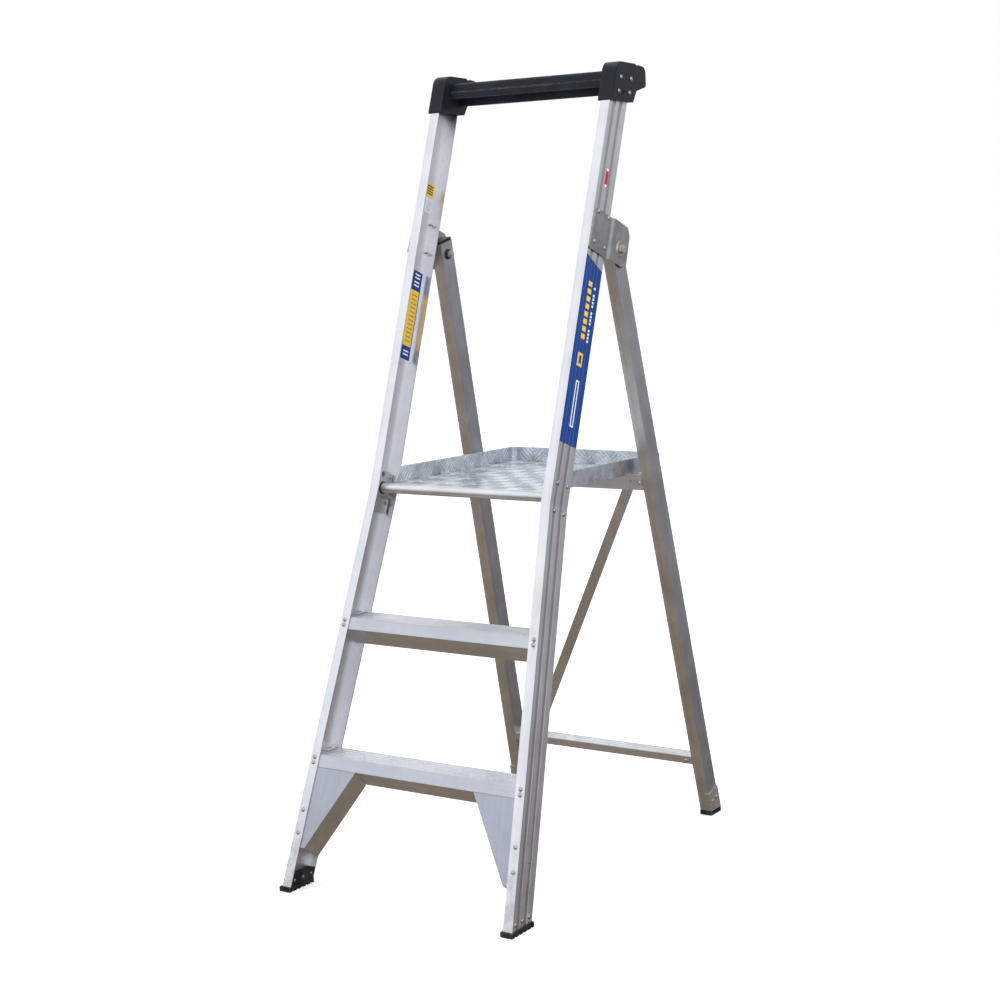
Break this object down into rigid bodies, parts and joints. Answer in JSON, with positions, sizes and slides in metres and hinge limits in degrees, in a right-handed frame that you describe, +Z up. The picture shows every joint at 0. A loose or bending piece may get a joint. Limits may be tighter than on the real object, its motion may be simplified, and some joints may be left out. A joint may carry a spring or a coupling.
{
  "type": "step ladder",
  "caption": "Folding aluminium platform step ladder: bent channel front frame with treads, tread-plate platform, moulded hand rail and a hinged, braced rear frame.",
  "frame": {"origin": "on the floor, at the middle of the ladder's footprint", "axes": "+Z up; -Y is the side the user climbs from; +X is the user's right hand when climbing"},
  "size_m": [0.611, 1.0126, 1.813],
  "materials": {
    "extrusion_aluminium": "mill finish extrusion",
    "rear_aluminium": "mill finish extrusion",
    "rivet_aluminium": "dome rivet",
    "tread_plate": "bright five-bar tread plate",
    "tube_aluminium": "drawn tube",
    "cast_aluminium": "cast housing",
    "zinc_steel": "zinc plated pressing",
    "zinc_fixing": "bright zinc",
    "black_plastic": "moulded, fine texture",
    "black_rubber": "moulded rubber"
  },
  "bodies": {
    "front_frame": {"stile_left": "extrusion_aluminium", "stile_right": "extrusion_aluminium", "step_1": "extrusion_aluminium", "step_2": "extrusion_aluminium", "step_1_bracket_left": "extrusion_aluminium", "step_1_bracket_right": "extrusion_aluminium", "step_2_bracket_left": "extrusion_aluminium", "step_2_bracket_right": "extrusion_aluminium", "gusset_left": "extrusion_aluminium", "gusset_right": "extrusion_aluminium", "front_foot_left": "black_rubber", "front_foot_right": "black_rubber", "hinge_plate_left": "zinc_steel", "hinge_plate_right": "zinc_steel", "pivot_bolt_left": "zinc_fixing", "pivot_bolt_right": "zinc_fixing", "pivot_washers": "black_plastic", "pivot_nuts": "zinc_fixing", "tube_bracket_left": "cast_aluminium", "tube_bracket_right": "cast_aluminium", "tube_bushes": "black_plastic", "top_cap_left": "black_plastic", "top_cap_right": "black_plastic", "top_rail": "black_plastic", "step_rivets": "rivet_aluminium", "gusset_rivets": "rivet_aluminium", "shoe_rivets": "rivet_aluminium", "hinge_rivets": "rivet_aluminium", "tube_bracket_rivets": "rivet_aluminium", "cap_rivets": "rivet_aluminium"},
    "rear_frame": {"rear_leg_left": "rear_aluminium", "rear_leg_right": "rear_aluminium", "leg_plug_left": "black_plastic", "leg_plug_right": "black_plastic", "pivot_bush_left": "zinc_fixing", "pivot_bush_right": "zinc_fixing", "rear_foot_left": "black_rubber", "rear_foot_right": "black_rubber", "wear_plate_left": "rear_aluminium", "wear_plate_right": "rear_aluminium", "upper_cross_member": "rear_aluminium", "lower_cross_bar": "rear_aluminium", "upper_cleats": "rear_aluminium", "lower_cleats": "rear_aluminium", "diagonal_brace": "rear_aluminium", "brace_bolts": "zinc_fixing", "rear_rivets": "rivet_aluminium", "wear_plate_rivets": "rivet_aluminium"},
    "platform": {"platform_tray": "tread_plate", "platform_tube": "tube_aluminium"}
  },
  "joints": [
    {"name": "rear_frame_fold", "type": "hinge", "parent": "front_frame", "child": "rear_frame", "pos_m": [0, 0.09262, 1.39803], "axis": [-1, 0, 0], "range_deg": [0, 33.5]},
    {"name": "platform_lift", "type": "hinge", "parent": "front_frame", "child": "platform", "pos_m": [0, -0.18557, 0.87], "axis": [1, 0, 0], "range_deg": [0, 71.6]}
  ],
  "couplings": [
    {"joint": "platform_lift", "follows": "rear_frame_fold", "ratio": 2.1}
  ]
}
